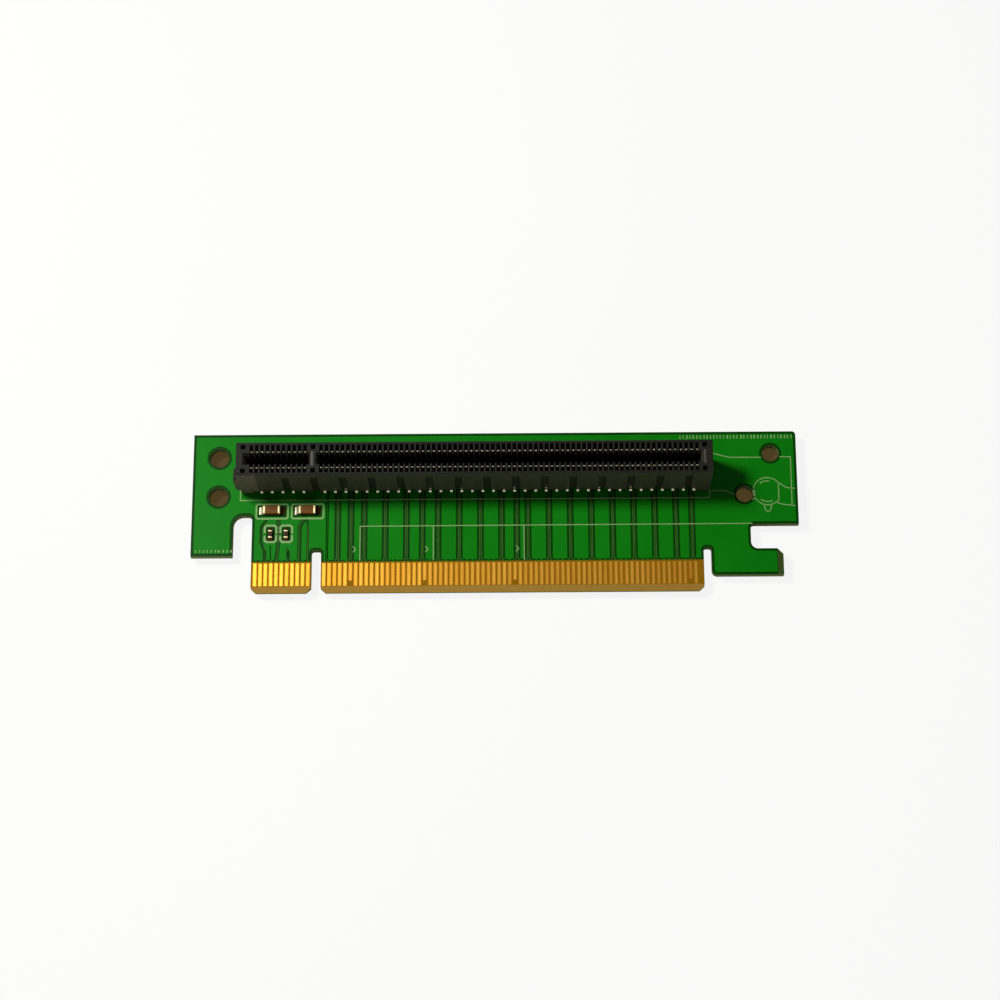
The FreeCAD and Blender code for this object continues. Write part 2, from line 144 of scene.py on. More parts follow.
def piece(name, shape, finish, stands_for=(), smooth_degrees=0):
    """Puts a shape in the scene: merged, faces outwards, on the card's one body."""
    points, quads = shape
    mesh = bpy.data.meshes.new(name)
    mesh.from_pydata(to_frame(points).tolist(), [], [list(face) for face in quads])
    work = bmesh.new()
    work.from_mesh(mesh)
    bmesh.ops.remove_doubles(work, verts=work.verts, dist=SAME_POINT * MM)
    bmesh.ops.recalc_face_normals(work, faces=work.faces)
    work.to_mesh(mesh)
    work.free()
    if smooth_degrees:
        mesh.shade_smooth()
        mesh.set_sharp_from_angle(angle=math.radians(smooth_degrees))
    mesh.materials.append(finish)
    made = bpy.data.objects.new(name, mesh)
    bpy.context.scene.collection.objects.link(made)
    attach(made, "root")
    if stands_for:
        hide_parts(*stands_for)
    print(f"{name}: {len(mesh.polygons)} faces")
    return made


# %% [markdown]
# ## Shader maths in plain expressions
#
# A material is a network of nodes, which is slow to read when every link is a line of
# code. Here a small class wraps a node's output, and its operators add Math nodes, so
# a mask can be written as one expression. Any other node comes from a single method.

# %% Values and nodes


class Value:
    """A number that varies over a surface; arithmetic on it adds Math nodes."""

    def __init__(self, nodes, socket):
        self.nodes = nodes
        self.socket = socket

    def math(self, operation, other=None, clamp=False):
        inputs = {0: self} if other is None else {0: self, 1: other}
        settings = {"operation": operation, "use_clamp": clamp}
        return self.nodes.node("ShaderNodeMath", settings, inputs)

    def __add__(self, other):
        return self.math("ADD", other)

    __radd__ = __add__

    def __mul__(self, other):
        return self.math("MULTIPLY", other)

    __rmul__ = __mul__

    def __sub__(self, other):
        return self.math("SUBTRACT", other)

    def __rsub__(self, other):
        return self * -1.0 + other

    def __gt__(self, other):
        return self.math("GREATER_THAN", other)

    def __lt__(self, other):
        return self.math("LESS_THAN", other)

    def __abs__(self):
        return self.math("ABSOLUTE")

    def clamped(self):
        return self.math("ADD", 0.0, clamp=True)


class Nodes:
    """Adds nodes to the tree of one material or world."""

    def __init__(self, tree):
        self.tree = tree
        tree.nodes.clear()

    def node(self, kind, settings=None, inputs=None, output=0):
        """Any node: its settings first, then the value or the link of each socket."""
        new = self.tree.nodes.new(kind)
        for name, setting in (settings or {}).items():
            setattr(new, name, setting)
        for name, value in (inputs or {}).items():
            if isinstance(value, Value):
                self.tree.links.new(value.socket, new.inputs[name])
            else:
                new.inputs[name].default_value = value
        return Value(self, new.outputs[output]) if new.outputs else None

    def place(self, stretch=(1.0, 1.0, 1.0)):
        """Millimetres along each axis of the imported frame, times a stretch."""
        here = self.node("ShaderNodeTexCoord", output=3)
        scale = tuple(s / MM for s in stretch)
        return self.node("ShaderNodeVectorMath", {"operation": "MULTIPLY"}, {0: here, 1: scale})

    def axis(self, vector, index):
        """One coordinate of a vector."""
        return self.node("ShaderNodeSeparateXYZ", inputs={0: vector}, output=index)

    def from_key(self, index):
        """Millimetres from the key's datum along one axis."""
        return self.axis(self.place(), index) - float(datum[index] / MM)

    def facing(self, index):
        """One coordinate of the surface's normal, from -1 to 1."""
        return self.axis(self.node("ShaderNodeNewGeometry", output=1), index)

    def noise(self, vector, scale, detail=2.0, roughness=0.5):
        """Cloudy variation between 0 and 1, about 0.5, with scale lumps per millimetre."""
        sockets = {"Vector": vector, "Scale": scale, "Detail": detail, "Roughness": roughness}
        return self.node("ShaderNodeTexNoise", {"noise_dimensions": "3D"}, sockets)

    def blend(self, factor, first, second):
        """A colour between two colours."""
        sockets = {0: factor, 6: first, 7: second}
        return self.node("ShaderNodeMix", {"data_type": "RGBA"}, sockets, 2)

    def bump(self, height, distance_mm, strength=1.0):
        """A surface normal from a height between 0 and 1 that stands for a distance."""
        sockets = {"Height": height, "Distance": distance_mm * MM, "Strength": strength}
        return self.node("ShaderNodeBump", inputs=sockets)

    def surface(self, **sockets):
        """The main shader and the output; a socket's name is written with underscores."""
        named = {name.replace("_", " "): value for name, value in sockets.items()}
        shader = self.node("ShaderNodeBsdfPrincipled", inputs=named)
        self.node("ShaderNodeOutputMaterial", inputs={"Surface": shader})


def paint(red, green, blue):
    """A display colour of 0 to 255 a channel as linear light."""
    share = np.array([red, green, blue]) / 255
    linear = np.where(share <= 0.04045, share / 12.92, ((share + 0.055) / 1.055) ** 2.4)
    return (*linear.tolist(), 1.0)


def material(name):
    """A new material and its nodes."""
    made = bpy.data.materials.new(name)
    made.use_nodes = True
    return made, Nodes(made.node_tree)


def cloudy(name, noise, dark, light, rough, bumpy, **same_all_over):
    """A finish whose one noise sways its colour, roughness (least, spread) and bump."""
    made, nodes = material(name)
    sway = nodes.noise(nodes.place(), *noise)
    nodes.surface(
        Base_Color=nodes.blend(sway, paint(*dark), paint(*light)),
        Roughness=rough[0] + sway * rough[1],
        Normal=nodes.bump(sway, *bumpy), **same_all_over)
    return made


print("green as linear light:", np.round(paint(20, 124, 22), 4))

# %% [markdown]
# ## Camera
#
# The card lies flat and the camera looks down on it from in front, seventeen degrees
# off the vertical, through a fairly long lens. A long lens keeps the two ends of the
# card the same height. The place and the turn are written as a plain rotation, which
# needs no constraint or target.

# %% Camera
CAMERA_PLACE = (0.00424, -0.13372, 0.44599)
LENS_MM = 87.94
TILT, ROLL, SWING = math.radians(17.06), math.radians(0.42), math.radians(-0.25)
camera_data = bpy.data.cameras.new("camera")
camera_data.lens = LENS_MM
camera_data.clip_start = 0.01
camera = bpy.data.objects.new("camera", camera_data)
bpy.context.scene.collection.objects.link(camera)
turn = Matrix.Identity(3)
for angle, axis in ((ROLL, "Y"), (TILT, "X"), (SWING, "Z")):
    turn = turn @ Matrix.Rotation(angle, 3, axis)
camera.matrix_world = Matrix.Translation(CAMERA_PLACE) @ turn.to_4x4()
bpy.context.scene.camera = camera
print("camera:", [round(c, 4) for c in camera.location])

# %% [markdown]
# ## Light and backdrop
#
# One broad lamp stands to the left and a little behind, so the slot throws a soft
# shadow to the right. A weak lamp low in front lifts the slot's long wall, and the
# even light of the studio fills the rest. The backdrop is white to the camera, less
# than half as bright in reflections, and gives dull surfaces only a little light.

# %% World
scene = bpy.context.scene
scene.view_settings.view_transform = "Standard"
FILL = 0.06
GLOSS = 0.42
world = bpy.data.worlds.new("studio")
scene.world = world
world.use_nodes = True
nodes = Nodes(world.node_tree)
seen, glossy, clear = [nodes.node("ShaderNodeLightPath", output=output) for output in (0, 3, 6)]
seen = seen.math("MAXIMUM", clear).math("MAXIMUM", glossy * GLOSS)
strength = seen * (1.0 - FILL) + FILL
backdrop = nodes.node("ShaderNodeBackground", inputs={"Color": (1, 1, 1, 1), "Strength": strength})
nodes.node("ShaderNodeOutputWorld", inputs={"Surface": backdrop})
print("even light:", FILL, "in reflections:", GLOSS)

# %% Lamps


def lamp(name, place, size, watts):
    """A square soft lamp at a place in metres, turned towards the card."""
    data = bpy.data.lights.new(name, "AREA")
    data.size = size
    data.energy = watts
    made = bpy.data.objects.new(name, data)
    scene.collection.objects.link(made)
    made.location = place
    made.rotation_euler = Vector(place).to_track_quat("Z", "Y").to_euler()


lamp("key_lamp", (-0.19, 0.087, 0.33), 0.08, 1.34)
lamp("front_fill", (0.0, -0.45, 0.10), 0.30, 0.4)

# %% [markdown]
# ## The board's own laminate
#
# The board is woven glass in resin. Both faces carry green solder mask, which looks
# dark where there is no copper under it. The routed edges, the bevel and the strip
# round the gold contacts are bare resin, a dull yellow brown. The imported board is
# already the right shape, so it only gets this material. One mask finds the faces by
# their height, and another ends the green just above the gold. At the tip of the hook
# the mask is worn to olive.

# %% Laminate
MASK_START = 5.95
HOOK_ARM_TOP = 8.2
HOOK_COPPER_END = 86.85
BEVEL_TOP = 1.3
FACE_SKIN = 0.02
laminate, nodes = material("green_laminate")
x, y, z = [nodes.from_key(index) for index in range(3)]
depth = abs(z + BOARD_THICKNESS / 2)
on_face = depth > BOARD_THICKNESS / 2 - FACE_SKIN
on_tongue = (x > contacts_x[0] - 0.8) * (x < contacts_x[-1] + 1.6)
masked = on_face * (1.0 - on_tongue * (y < MASK_START))
cloud = nodes.noise(nodes.place(), 0.35, 3.0)
weave_along = nodes.noise(nodes.place((0.4, 6.0, 0.4)), 1.0, 2.0)
weave_across = nodes.noise(nodes.place((6.0, 0.4, 0.4)), 1.0, 2.0)
weave = (weave_along + weave_across) * 0.5
plies = nodes.noise(nodes.place((0.6, 0.6, 9.0)), 1.0, 3.0)
mask_green = nodes.blend(cloud, paint(4, 54, 1), paint(9, 68, 4))
at_hook_tip = (x > HOOK_COPPER_END + 0.1) * (y < HOOK_ARM_TOP)
mask_green = nodes.blend(at_hook_tip * 0.9, mask_green, paint(62, 80, 36))
resin = nodes.blend(weave, paint(130, 86, 4), paint(164, 116, 16))
bevel = nodes.blend(weave, paint(152, 114, 38), paint(186, 146, 68))
routed = nodes.blend(plies, paint(92, 108, 62), paint(132, 142, 92))
bare = nodes.blend(on_face, routed, resin)
sloping = (z > 0.2 - BOARD_THICKNESS / 2) * (1.0 - on_face) * (y < BEVEL_TOP)
bare = nodes.blend(sloping, bare, bevel)
nodes.surface(
    Base_Color=nodes.blend(masked, bare, mask_green),
    Roughness=0.78 - masked * 0.40 + cloud * 0.06,
    Specular_IOR_Level=0.04,
    Normal=nodes.bump(weave * 0.25 + plies * (1.0 - on_face), 0.03, 0.5))
board = frame["nodes"]["circuit_board"]
board.data.materials.clear()
board.data.materials.append(laminate)
print("mask starts above the gold at Y =", MASK_START)

# %% [markdown]
# ## Copper under the mask
#
# Where the copper is left on, the mask lies over it a little higher and looks bright
# green. The copper is one sheet that keeps half a millimetre clear of every cut edge
# and hole, with long slits for the signal pairs. A painted texture would blur at the
# slits' edges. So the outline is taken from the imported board's own face and moved
# inwards, a filled flat curve closes it with its holes, and a hair of height makes it
# catch the light as etched copper does.

# %% Outlines of the board's face


def face_loops(node, height):
    """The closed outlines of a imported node's flat face at a height, longest first."""
    near = 0.001 * MM
    work = bmesh.new()
    work.from_mesh(frame["nodes"][node].data)
    bmesh.ops.remove_doubles(work, verts=work.verts, dist=near)
    level = to_frame((0, 0, height))[2]
    flat = {f for f in work.faces if all(abs(v.co.z - level) < near for v in f.verts)}
    rim = [e for e in work.edges if sum(f in flat for f in e.link_faces) == 1]
    ahead = {}
    for edge in rim:
        for vertex in edge.verts:
            ahead.setdefault(vertex, []).append(edge)
    loops = []
    left = set(rim)
    while left:
        edge = next(e for e in rim if e in left)
        start = edge.verts[0]
        loop = [start]
        vertex = edge.other_vert(start)
        left.discard(edge)
        while vertex is not start:
            loop.append(vertex)
            edge = next(e for e in ahead[vertex] if e in left)
            left.discard(edge)
            vertex = edge.other_vert(vertex)
        loops.append((np.array([v.co for v in loop]) - datum)[:, :2] / MM)
    work.free()
    return sorted(loops, key=lambda loop: -np.ptp(loop[:, 0]))


def turned_area(loop):
    """Twice an outline's area, by the shoelace sum: above zero where it runs anticlockwise."""
    ahead = np.roll(loop, -1, 0)
    return np.sum(loop[:, 0] * ahead[:, 1] - ahead[:, 0] * loop[:, 1])


def left_of(sides):
    """The direction to the left of each side, one unit long."""
    sides = sides / np.linalg.norm(sides, axis=1)[:, None]
    return np.stack([-sides[:, 1], sides[:, 0]], 1)


def mitre(before, after):
    """How far a corner moves when both sides move by one: sum / (1 + dot) of the normals."""
    return (before + after) / (1 + (before * after).sum(1))[:, None]


def moved_in(loop, distance):
    """An outline with each side moved inwards: corner + distance * mitre of its two normals."""
    inward = np.sign(turned_area(loop)) * left_of(np.roll(loop, -1, 0) - loop)
    return loop + distance * mitre(np.roll(inward, 1, 0), inward)


front_loops = face_loops("circuit_board", 0.0)
rear_loops = face_loops("circuit_board", -BOARD_THICKNESS)
print("front outlines:", [len(loop) for loop in front_loops])

# %% Slits and the outline of the copper
COPPER_MARGIN = 0.5
COPPER_BOTTOM = 6.3
SLIT_TOP = SLOT_Y - 2.6
tongue_left = contacts_x[0] - 0.75
tongue_right = contacts_x[-1] + 1.55


def offset_path(path, distance):
    """A path moved sideways to its left: point + distance * mitre of its two normals."""
    normal = left_of(np.diff(path, axis=0))
    before, after = np.concatenate([normal[:1], normal]), np.concatenate([normal, normal[-1:]])
    return path + distance * mitre(before, after)


def both_sides(path, width):
    """A path moved half a width to its left, and the same to its right."""
    path = np.asarray(path, float)
    return offset_path(path, width / 2), offset_path(path, -width / 2)


def slit(path, width):
    """The outline of a slit that comes up from the copper's lower edge along a path and back."""
    left, right = both_sides(path, width)
    return np.concatenate([left, right[::-1]])


def copper_outline(loop, slits):
    """The board's outline moved in, cut level above the gold, with slits let into that edge."""
    outer = moved_in(loop, COPPER_MARGIN)
    outer = outer if turned_area(outer) > 0 else outer[::-1]
    hook = (outer[:, 1] < HOOK_ARM_TOP) & (outer[:, 0] > HOOK_COPPER_END)
    outer[:, 0] = np.where(hook, HOOK_COPPER_END, outer[:, 0])
    within = (outer[:, 0] > tongue_left) & (outer[:, 0] < tongue_right)
    low = (outer[:, 1] < COPPER_BOTTOM) & within
    start = np.flatnonzero(low & ~np.roll(low, -1))[0] + 1
    outer, low = np.roll(outer, -start, 0), np.roll(low, -start)
    pieces = []
    index = 0
    while index < len(outer):
        if not low[index]:
            pieces.append(outer[index][None])
            index += 1
            continue
        end = index
        while end < len(outer) and low[end]:
            end += 1
        x_from, x_to = outer[index - 1][0], outer[end % len(outer)][0]
        inside = [path for path in slits if x_from < path[0][0] < x_to]
        pieces.append(np.array([[x_from, COPPER_BOTTOM]]))
        pieces += sorted(inside, key=lambda path: path[0][0])
        pieces.append(np.array([[x_to, COPPER_BOTTOM]]))
        index = end
    return np.concatenate(pieces)


def flat_sheet(loops, low, high):
    """Filled outlines with their holes, as a closed sheet between two heights."""
    data = bpy.data.curves.new("outline", "CURVE")
    data.dimensions = "2D"
    data.fill_mode = "BOTH"
    data.extrude = (high - low) / 2
    for loop in loops:
        spline = data.splines.new("POLY")
        spline.points.add(len(loop) - 1)
        flat = np.column_stack([loop, np.zeros(len(loop)), np.ones(len(loop))])
        spline.points.foreach_set("co", flat.ravel())
        spline.use_cyclic_u = True
    drawn = bpy.data.objects.new("outline", data)
    mesh = bpy.data.meshes.new_from_object(drawn)
    points = np.array([v.co for v in mesh.vertices]) + (0, 0, (high + low) / 2)
    faces = [list(face.vertices) for face in mesh.polygons]
    bpy.data.objects.remove(drawn)
    bpy.data.curves.remove(data)
    bpy.data.meshes.remove(mesh)
    return points, faces


print("slits end under the slot at Y =", round(SLIT_TOP, 2))

# %% [markdown]
# ## Floor
#
# The floor is white paper. Raising the lamps until the paper burns out would spoil the
# card's own colours, so the paper keeps plain light, and only the camera sees it
# brighter. The paper right under the card sees little but the card's own rear face. A
# second sheet, a little smaller than the card, stands for that shade: its dark brown is
# painted shade, which the camera sees glowing and which is hardly lit, and from above
# it shows only through the fixing holes.

# %% Floor
PAPER_GLOW = 0.88


def sheet(name, corners, colours, glow_colour):
    """A flat sheet of paper with a fibrous colour and a share that only the camera sees."""
    mesh = bpy.data.meshes.new(name)
    mesh.from_pydata([tuple(p) for p in corners.tolist()], [], [tuple(range(len(corners)))])
    paper, nodes = material(name + "_paper")
    fibre = nodes.noise(nodes.place(), 0.8, 3.0)
    diffuse = nodes.node("ShaderNodeBsdfDiffuse", inputs={"Color": nodes.blend(fibre, *colours)})
    glow = nodes.node("ShaderNodeEmission", inputs={"Color": glow_colour, "Strength": 1.0})
    camera_ray = nodes.node("ShaderNodeLightPath", output=0)
    sockets = {0: camera_ray * PAPER_GLOW, 1: diffuse, 2: glow}
    shader = nodes.node("ShaderNodeMixShader", inputs=sockets)
    nodes.node("ShaderNodeOutputMaterial", inputs={"Surface": shader})
    mesh.materials.append(paper)
    made = bpy.data.objects.new(name, mesh)
    scene.collection.objects.link(made)


FLOOR_HALF = 1.5
corners = FLOOR_HALF * np.array([(-1, -1, 0), (1, -1, 0), (1, 1, 0), (-1, 1, 0)])
sheet("floor", corners, [(0.86, 0.84, 0.80, 1), (0.90, 0.88, 0.85, 1)], (1, 1, 1, 1))
# The shaded sheet's brown colours are painted shade for the floor under the card.
SHADED_MARGIN, SHADED_SHIFT, SHADED_HEIGHT = 0.9, 0.4, 0.02
shaded = moved_in(front_loops[0], SHADED_MARGIN) + (0.0, SHADED_SHIFT)
corners = to_frame(np.column_stack([shaded, np.zeros(len(shaded))]))
corners[:, 2] = SHADED_HEIGHT * MM
sheet("shaded_floor", corners, [paint(128, 108, 70), paint(150, 128, 84)], paint(78, 64, 34))
print("floor is", 2 * FLOOR_HALF, "m wide")

# %% [markdown]
# ## The green of the copper sheet
#
# Solder mask over copper is a clear green glaze. It is nearly even, with a faint
# cloudiness from the screen that laid it and a fine orange-peel skin. Both are noise,
# one slow in the colour and one fine in the bump.

# %% Copper and tracks under mask
copper_green, nodes = material("mask_over_copper")
cloud = nodes.noise(nodes.place(), 0.12, 3.0)
peel = nodes.noise(nodes.place(), 2.6, 2.0)
speck = nodes.noise(nodes.place(), 6.0, 1.0)
colour = nodes.blend(cloud, paint(6, 118, 6), paint(20, 132, 20))
colour = nodes.blend(speck * 0.16, colour, paint(8, 96, 10))
nodes.surface(
    Base_Color=colour,
    Roughness=0.30 + cloud * 0.14,
    Specular_IOR_Level=0.04,
    Normal=nodes.bump(peel, 0.02, 0.35))

track_green, nodes = material("mask_over_tracks")
cloud = nodes.noise(nodes.place(), 0.5, 3.0)
nodes.surface(
    Base_Color=nodes.blend(cloud, paint(40, 92, 24), paint(64, 116, 40)),
    Roughness=0.4 + cloud * 0.1,
    Specular_IOR_Level=0.04)
print(copper_green.name, track_green.name)

# %% Front and rear copper sheets
SLIT_WIDTH = 1.3
SLIT_PLACES = np.array([12.5, 14.5, 17, 19.5, 23.5, 27.5, 30.5, 33.5, 37.5, 41.5, 45.5, 48.4, 50.5,
                        54.5, 58.5, 62.5, 66.5, 70.5, 74.5, 78.5, 81.5])
FIRST_AFTER_KEY = 12
slit_x = contacts_x[FIRST_AFTER_KEY - 1] + SLIT_PLACES - FIRST_AFTER_KEY
straight = [slit([(x, COPPER_BOTTOM), (x, SLIT_TOP)], SLIT_WIDTH) for x in slit_x]
bent = [
    slit([(-9.75, COPPER_BOTTOM), (-9.85, 8.3), (-10.5, 9.9), (-10.5, 12.8), (-9.5, 14.2)], 0.55),
    slit([(-7.5, COPPER_BOTTOM), (-7.2, 9.6), (-7.25, 14.3)], 0.75),
    slit([(-5.3, COPPER_BOTTOM), (-5.15, 7.7), (-5.6, 8.6)], 0.5),
    slit([(-3.2, COPPER_BOTTOM), (-3.2, 12.9), (-2.35, 14.3)], 0.8),
    slit([(-1.65, COPPER_BOTTOM), (-1.65, 13.2), (-1.85, 14.3)], 0.45),
]


def rectangle(low, high):
    """An outline from its low and high corners."""
    return np.array([low, (high[0], low[1]), high, (low[0], high[1])], float)


WINDOW_BELOW, WINDOW_ABOVE = 0.35, 0.2
windows = []
for name, beyond in (
        ("left_capacitor_solder", 0.2), ("right_capacitor_solder", 0.2),
        ("left_chip_solder", 0.45), ("right_chip_solder", 0.45)):
    low, high = box_mm(name)
    windows.append(rectangle((low[0] - beyond, low[1] - WINDOW_BELOW),
                             (high[0] + beyond, high[1] + WINDOW_ABOVE)))
hole_loops = [moved_in(loop, -COPPER_MARGIN) for loop in front_loops[1:]]
SHEET_HEIGHT = 0.04
front_sheet = flat_sheet(
    [copper_outline(front_loops[0], straight + bent)] + hole_loops + windows, 0.0, SHEET_HEIGHT)
piece("front_copper", front_sheet, copper_green)
REAR_SHIFT, REAR_SLIT_TOP = 1.0, SLOT_Y - 4.4
rear_slits = [slit([(x, COPPER_BOTTOM), (x, REAR_SLIT_TOP)], SLIT_WIDTH)
              for x in slit_x[1:-1] + REAR_SHIFT]
rear_holes = [moved_in(loop, -COPPER_MARGIN) for loop in rear_loops[1:]]
rear_sheet = flat_sheet(
    [copper_outline(rear_loops[0], rear_slits)] + rear_holes,
    -BOARD_THICKNESS - SHEET_HEIGHT, -BOARD_THICKNESS)
piece("rear_copper", rear_sheet, copper_green)

# %% [markdown]
# ## Tracks and print
#
# The signal pairs run up the middle of each slit as two fine tracks, and a short neck
# joins each gold contact to the sheet. The pale print marks where parts sit. All of
# them are thin strips along a path, so one function makes a strip: the path is moved
# to both sides by half the width, with mitred corners, and given a low and a high
# face.

# %% Strips along paths


def strip(path, width, low, high, closed=False):
    """A flat strip: a path moved half a width to each side, with a lower and an upper face."""
    path = np.asarray(path, float)
    if closed:
        path = np.concatenate([path, path[:2]])
    left, right = both_sides(path, width)
    if closed:
        left[0], right[0] = left[-2], right[-2]
        left, right = left[:-1], right[:-1]
    corners = [(left, low), (left, high), (right, high), (right, low)]
    sections = np.stack([np.column_stack([side, np.full(len(side), z)]) for side, z in corners], 1)
    if closed:
        return sections.reshape(-1, 3), grid_quads(len(sections), 4)
    return closed_tube(sections)


TRACK_WIDTH = 0.18
TRACK_GAP = 0.12
PAD_TOP = box_mm("front_edge_contacts")[1][1]
tracks = []
for x in slit_x:
    for side in (-1, 1):
        pad_x = contacts_x[np.argmin(abs(contacts_x - (x + side * 0.5)))]
        track_x = x + side * (TRACK_WIDTH + TRACK_GAP) / 2
        path = [(pad_x, PAD_TOP), (pad_x, PAD_TOP + 0.25),
                (track_x, PAD_TOP + 0.9), (track_x, SLIT_TOP)]
        tracks.append(strip(path, TRACK_WIDTH, 0.0, SHEET_HEIGHT))
for path in (
        [(-9.5, PAD_TOP), (-9.5, 8.0), (-10.0, 9.2)],
        [(-8.5, PAD_TOP), (-8.7, 8.0), (-8.7, 9.2)],
        [(-7.5, PAD_TOP), (-7.35, 7.4), (-7.2, 9.6), (-7.2, 14.2)],
        [(-5.5, PAD_TOP), (-5.55, 8.8)],
        [(-3.5, PAD_TOP), (-3.3, 7.0), (-3.3, 12.9), (-2.5, 14.2)],
        [(-1.5, PAD_TOP), (-1.65, 7.0), (-1.65, 13.4)]):
    tracks.append(strip(path, TRACK_WIDTH, 0.0, SHEET_HEIGHT))
piece("front_tracks", joined(tracks), track_green)

# %% Necks between the gold and the copper sheet
NECK_WIDTH, NECK_HEIGHT, NECK_OVERLAP = 0.24, SHEET_HEIGHT * 0.8, 0.05
clear = abs(contacts_x[:, None] - slit_x[None]).min(1) > 0.75
neck_ends = [(0, PAD_TOP - NECK_OVERLAP), (0, COPPER_BOTTOM + NECK_OVERLAP)]
neck = strip(neck_ends, NECK_WIDTH, 0.0, NECK_HEIGHT)


def row_of(shape, row_x, z=0.0):
    """A shape at every place of a row, moved up by z."""
    return copies(shape, np.stack([row_x, 0 * row_x, 0 * row_x + z], 1))


piece("front_necks", row_of(neck, contacts_x[clear]), copper_green)
rear_necks = row_of(neck, contacts_x, -BOARD_THICKNESS - NECK_HEIGHT)
piece("rear_necks", rear_necks, copper_green)

# %% [markdown]
# ## Printed legend
#
# The legend is screen ink, a pale warm white that lets some green through. It is a
# little uneven where the mesh of the screen starved it. The print here is only what a
# fitter needs: frames round the parts, the outline of the slot, the lines and arrows
# that divide the lanes, and two rows of plain dashes. Nothing on it can be read.

# %% Legend ink
ink, nodes = material("legend_ink")
starved = nodes.noise(nodes.place(), 3.5, 2.0)
nodes.surface(
    Base_Color=nodes.blend(starved, paint(96, 152, 78), paint(164, 190, 130)),
    Roughness=0.72,
    Specular_IOR_Level=0.2,
    Normal=nodes.bump(starved, 0.01, 0.4))
print(ink.name)

# %% Legend
LINE = 0.18
BOLD_LINE = 0.3
BRACKET_LINE = 0.4
INK_LOW, INK_HIGH = SHEET_HEIGHT - 0.005, SHEET_HEIGHT + 0.02


def arc(x, y, radius, first, last, count):
    """Part of a circle between two angles in degrees."""
    angle = np.radians(np.linspace(first, last, count))
    return np.stack([x + radius * np.cos(angle), y + radius * np.sin(angle)], 1)


def cut_corner_frame(low, high, cut):
    """A frame with its corners cut off."""
    (x0, y0), (x1, y1) = low, high
    return [(x0 + cut, y0), (x1 - cut, y0), (x1, y0 + cut), (x1, y1 - cut),
            (x1 - cut, y1), (x0 + cut, y1), (x0, y1 - cut), (x0, y0 + cut)]


hole_centres = sorted((loop.mean(0) for loop in front_loops[1:]), key=lambda centre: centre[0])
lower_right_hole, upper_right_hole = hole_centres[-2:]
right_edge = board_high[0]
symbol_x, symbol_y = right_edge - 5.73, 19.29
LANE_LINES = (8.25, 22.1, 39.25)
LANES_LOW, LANES_HIGH = 6.1, 12.85
open_lines = [
    [(LANE_LINES[0], LANES_HIGH), (82.4, LANES_HIGH + 0.1)],
    *([(x, LANES_HIGH), (x, LANES_LOW)] for x in LANE_LINES),
    [(housing_high[0] + 0.2, 27.1), (75.6, 26.85), (78.3, 26.1),
     (upper_right_hole[0] - 1.75, 26.06)],
    [(upper_right_hole[0] + 1.75, 26.13), (90.09, 26.13), (90.05, 16.5)],
    [(housing_high[0], 19.5), (77.75, 19.45), (lower_right_hole[0] - 1.8, 18.6)],
    [(symbol_x + 2.14, 21.0), (symbol_x + 3.7, 19.95), (right_edge - 0.5, 19.85)],
    [(symbol_x + 1.6, 17.1), (symbol_x + 3.0, 16.65), (right_edge - 0.5, 16.4)],
    [(symbol_x + 2.13, 20.95), (symbol_x + 2.13, 17.63)],
    [(symbol_x - 0.72, 16.65), (symbol_x - 0.5, 15.65), (symbol_x - 0.15, 15.25),
     (symbol_x + 0.15, 15.25), (symbol_x + 0.5, 15.65), (symbol_x + 0.72, 16.65)],
    arc(symbol_x, symbol_y, 2.7, 38, 322, 40),
    arc(symbol_x, symbol_y, 2.05, 78, 132, 12),
    arc(symbol_x, symbol_y, 2.05, 232, 298, 12),
    arc(*lower_right_hole, 1.95, -38, 34, 12),
]
slot_frame = rectangle((-14.6, 18.1), (74.45, 27.4))
part_frames = []
for name in ("left_capacitor_solder", "right_capacitor_solder"):
    low, high = box_mm(name)
    part_frames.append(cut_corner_frame(low[:2] - (0.5, 0.75), high[:2] + 0.5, 0.25))
brackets = []
for name in ("left_chip_solder", "right_chip_solder"):
    low, high = box_mm(name)
    x0, y0, x1, y1 = low[0] - 0.7, low[1] - 0.15, high[0] + 0.7, high[1] + 0.5
    middle_y = (y0 + y1) / 2 - 0.1
    for y, turn_y in ((y0, 1), (y1, -1)):
        brackets.append([(x0, middle_y - turn_y * 0.25), (x0, y + turn_y * 0.35), (x0 + 0.35, y),
                         (x1 - 0.35, y), (x1, y + turn_y * 0.35), (x1, middle_y - turn_y * 0.15)])
DASH_SPACING = 0.62
rng = np.random.default_rng(7)


def inked(path, width=LINE, closed=False):
    """A line of ink, which starts just inside the copper sheet's face."""
    return strip(path, width, INK_LOW, INK_HIGH, closed)


def ticks(x_from, x_to, y, height):
    """A row of plain upright dashes of uneven width and spacing."""
    count = int((x_to - x_from) / DASH_SPACING)
    x = np.linspace(x_from, x_to, count) + rng.uniform(-0.08, 0.08, count)
    widths = rng.uniform(0.12, 0.28, count)
    return [inked([(a, y), (a, y + height)], width) for a, width in zip(x, widths)]


legend = ticks(-22.8, -16.1, 7.85, 0.5) + ticks(69.2, 90.4, 29.85, 0.7)
ARROWS_X = (6.9, 20.6, 37.7)
for x in ARROWS_X:
    legend.append(inked([(x, 7.7), (x + 0.5, 8.3), (x, 8.9)]))
legend += [inked(path) for path in open_lines]
legend.append(inked(slot_frame, closed=True))
legend += [inked(path, BOLD_LINE, closed=True) for path in part_frames]
legend += [inked(path, BRACKET_LINE) for path in brackets]
piece("printed_legend", joined(legend), ink)
